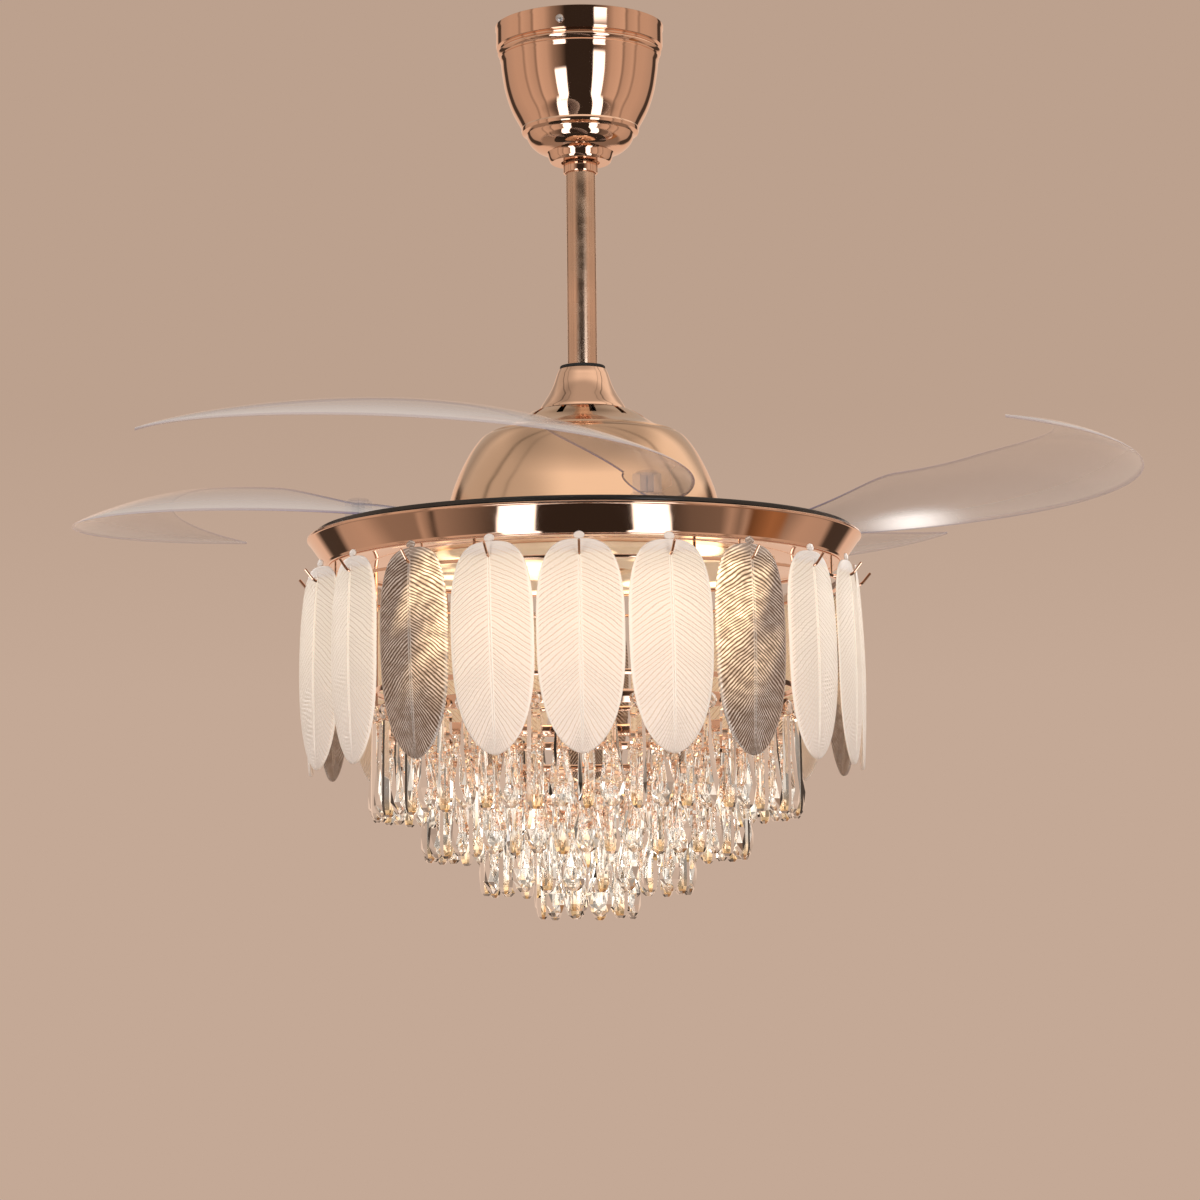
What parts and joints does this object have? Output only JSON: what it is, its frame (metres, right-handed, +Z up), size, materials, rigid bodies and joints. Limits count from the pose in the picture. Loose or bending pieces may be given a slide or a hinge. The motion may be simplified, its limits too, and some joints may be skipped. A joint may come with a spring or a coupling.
{
  "type": "retractable blade ceiling fan",
  "caption": "Ceiling fan with clear blades that fold in over a chandelier light kit of hanging glass feathers and stepped crystal tiers.",
  "frame": {"origin": "centre of the ceiling bracket's top face, on the ceiling plane", "axes": "+Z up along the downrod, front of the fan towards -Y"},
  "size_m": [1.0068, 1.0068, 0.8543],
  "materials": {
    "rose_gold": "polished rose gold plate",
    "satin_rose_gold": "satin rose gold plate",
    "steel": "zinc plated",
    "black_plastic": "moulded, gloss black",
    "black_rubber": "matte",
    "grey_plastic": "moulded",
    "copper_windings": "varnished windings on laminations",
    "opal": "opal diffuser, lit warm white",
    "clear_blade": "clear acrylic",
    "crystal": "cut and polished",
    "white_glass": "frosted, embossed",
    "smoke_glass": "smoky grey, embossed"
  },
  "bodies": {
    "hanger": {"hanger_bracket": "steel", "canopy": "rose_gold", "canopy_screw_1": "steel", "canopy_screw_2": "steel", "receiver_box": "grey_plastic"},
    "fan": {"hanger_ball": "grey_plastic", "ball_pin": "steel", "downrod": "rose_gold", "rod_collar": "rose_gold", "cover_gasket": "black_rubber", "coupling_cover": "rose_gold", "yoke": "steel", "yoke_pin": "steel", "dome_cover": "satin_rose_gold", "motor_shaft": "steel", "stator": "copper_windings", "upper_bearing": "steel", "lower_bearing": "steel", "drum_band": "rose_gold", "lamp_plate": "rose_gold", "shaft_nut": "steel", "driver_box": "grey_plastic", "light_panel": "opal", "feather_frame": "rose_gold", "tier_frame": "rose_gold", "crystals_1": "crystal", "crystals_2": "crystal", "crystals_3": "crystal", "crystals_4": "crystal"},
    "rotor": {"rotor_cup": "steel", "rotor_base": "steel", "blade_carrier": "black_plastic", "blade_pivot_1": "clear_blade", "blade_pivot_2": "clear_blade", "blade_pivot_3": "clear_blade", "blade_pivot_4": "clear_blade"},
    "blade_1": {"blade_1": "clear_blade"},
    "blade_2": {"blade_2": "clear_blade"},
    "blade_3": {"blade_3": "clear_blade"},
    "blade_4": {"blade_4": "clear_blade"},
    "feather_01": {"feather_01": "white_glass"},
    "feather_02": {"feather_02": "white_glass"},
    "feather_03": {"feather_03": "smoke_glass"},
    "feather_04": {"feather_04": "white_glass"},
    "feather_05": {"feather_05": "white_glass"},
    "feather_06": {"feather_06": "white_glass"},
    "feather_07": {"feather_07": "smoke_glass"},
    "feather_08": {"feather_08": "white_glass"},
    "feather_09": {"feather_09": "white_glass"},
    "feather_10": {"feather_10": "white_glass"},
    "feather_11": {"feather_11": "smoke_glass"},
    "feather_12": {"feather_12": "white_glass"},
    "feather_13": {"feather_13": "white_glass"},
    "feather_14": {"feather_14": "white_glass"},
    "feather_15": {"feather_15": "smoke_glass"},
    "feather_16": {"feather_16": "white_glass"},
    "feather_17": {"feather_17": "white_glass"},
    "feather_18": {"feather_18": "white_glass"},
    "feather_19": {"feather_19": "smoke_glass"},
    "feather_20": {"feather_20": "white_glass"}
  },
  "joints": [
    {"name": "hanger_tilt", "type": "hinge", "parent": "hanger", "child": "fan", "pos_m": [0, 0, -0.046], "axis": [-0.225, -0.9744, 0], "range_deg": [-2, 2]},
    {"name": "rotor_spin", "type": "hinge", "parent": "fan", "child": "rotor", "pos_m": [0, 0, -0.4931], "axis": [0, 0, 1], "continuous": true},
    {"name": "blade_1_fold", "type": "hinge", "parent": "rotor", "child": "blade_1", "pos_m": [0.05616, -0.20961, -0.4725], "axis": [0, 0, 1], "range_deg": [-86, 0]},
    {"name": "blade_2_fold", "type": "hinge", "parent": "rotor", "child": "blade_2", "pos_m": [-0.20961, -0.05616, -0.4725], "axis": [0, 0, 1], "range_deg": [-86, 0]},
    {"name": "blade_3_fold", "type": "hinge", "parent": "rotor", "child": "blade_3", "pos_m": [-0.05616, 0.20961, -0.4725], "axis": [0, 0, 1], "range_deg": [-86, 0]},
    {"name": "blade_4_fold", "type": "hinge", "parent": "rotor", "child": "blade_4", "pos_m": [0.20961, 0.05616, -0.4725], "axis": [0, 0, 1], "range_deg": [-86, 0]},
    {"name": "feather_01_swing", "type": "hinge", "parent": "fan", "child": "feather_01", "pos_m": [-0.00447, -0.25596, -0.5434], "axis": [-0.9998, 0.0174, 0], "range_deg": [-5, 15]},
    {"name": "feather_02_swing", "type": "hinge", "parent": "fan", "child": "feather_02", "pos_m": [0.07485, -0.24481, -0.5434], "axis": [-0.9563, -0.2924, 0], "range_deg": [-5, 15]},
    {"name": "feather_03_swing", "type": "hinge", "parent": "fan", "child": "feather_03", "pos_m": [0.14684, -0.2097, -0.5434], "axis": [-0.8191, -0.5736, 0], "range_deg": [-5, 15]},
    {"name": "feather_04_swing", "type": "hinge", "parent": "fan", "child": "feather_04", "pos_m": [0.20445, -0.15406, -0.5434], "axis": [-0.6018, -0.7986, 0], "range_deg": [-5, 15]},
    {"name": "feather_05_swing", "type": "hinge", "parent": "fan", "child": "feather_05", "pos_m": [0.24205, -0.08335, -0.5434], "axis": [-0.3256, -0.9455, 0], "range_deg": [-5, 15]},
    {"name": "feather_06_swing", "type": "hinge", "parent": "fan", "child": "feather_06", "pos_m": [0.25596, -0.00447, -0.5434], "axis": [-0.0174, -0.9998, 0], "range_deg": [-5, 15]},
    {"name": "feather_07_swing", "type": "hinge", "parent": "fan", "child": "feather_07", "pos_m": [0.24481, 0.07485, -0.5434], "axis": [0.2924, -0.9563, 0], "range_deg": [-5, 15]},
    {"name": "feather_08_swing", "type": "hinge", "parent": "fan", "child": "feather_08", "pos_m": [0.2097, 0.14684, -0.5434], "axis": [0.5736, -0.8191, 0], "range_deg": [-5, 15]},
    {"name": "feather_09_swing", "type": "hinge", "parent": "fan", "child": "feather_09", "pos_m": [0.15406, 0.20445, -0.5434], "axis": [0.7986, -0.6018, 0], "range_deg": [-5, 15]},
    {"name": "feather_10_swing", "type": "hinge", "parent": "fan", "child": "feather_10", "pos_m": [0.08335, 0.24205, -0.5434], "axis": [0.9455, -0.3256, 0], "range_deg": [-5, 15]},
    {"name": "feather_11_swing", "type": "hinge", "parent": "fan", "child": "feather_11", "pos_m": [0.00447, 0.25596, -0.5434], "axis": [0.9998, -0.0174, 0], "range_deg": [-5, 15]},
    {"name": "feather_12_swing", "type": "hinge", "parent": "fan", "child": "feather_12", "pos_m": [-0.07485, 0.24481, -0.5434], "axis": [0.9563, 0.2924, 0], "range_deg": [-5, 15]},
    {"name": "feather_13_swing", "type": "hinge", "parent": "fan", "child": "feather_13", "pos_m": [-0.14684, 0.2097, -0.5434], "axis": [0.8191, 0.5736, 0], "range_deg": [-5, 15]},
    {"name": "feather_14_swing", "type": "hinge", "parent": "fan", "child": "feather_14", "pos_m": [-0.20445, 0.15406, -0.5434], "axis": [0.6018, 0.7986, 0], "range_deg": [-5, 15]},
    {"name": "feather_15_swing", "type": "hinge", "parent": "fan", "child": "feather_15", "pos_m": [-0.24205, 0.08335, -0.5434], "axis": [0.3256, 0.9455, 0], "range_deg": [-5, 15]},
    {"name": "feather_16_swing", "type": "hinge", "parent": "fan", "child": "feather_16", "pos_m": [-0.25596, 0.00447, -0.5434], "axis": [0.0174, 0.9998, 0], "range_deg": [-5, 15]},
    {"name": "feather_17_swing", "type": "hinge", "parent": "fan", "child": "feather_17", "pos_m": [-0.24481, -0.07485, -0.5434], "axis": [-0.2924, 0.9563, 0], "range_deg": [-5, 15]},
    {"name": "feather_18_swing", "type": "hinge", "parent": "fan", "child": "feather_18", "pos_m": [-0.2097, -0.14684, -0.5434], "axis": [-0.5736, 0.8191, 0], "range_deg": [-5, 15]},
    {"name": "feather_19_swing", "type": "hinge", "parent": "fan", "child": "feather_19", "pos_m": [-0.15406, -0.20445, -0.5434], "axis": [-0.7986, 0.6018, 0], "range_deg": [-5, 15]},
    {"name": "feather_20_swing", "type": "hinge", "parent": "fan", "child": "feather_20", "pos_m": [-0.08335, -0.24205, -0.5434], "axis": [-0.9455, 0.3256, 0], "range_deg": [-5, 15]}
  ],
  "couplings": [
    {"joint": "blade_2_fold", "follows": "blade_1_fold", "ratio": 1},
    {"joint": "blade_3_fold", "follows": "blade_1_fold", "ratio": 1},
    {"joint": "blade_4_fold", "follows": "blade_1_fold", "ratio": 1}
  ]
}
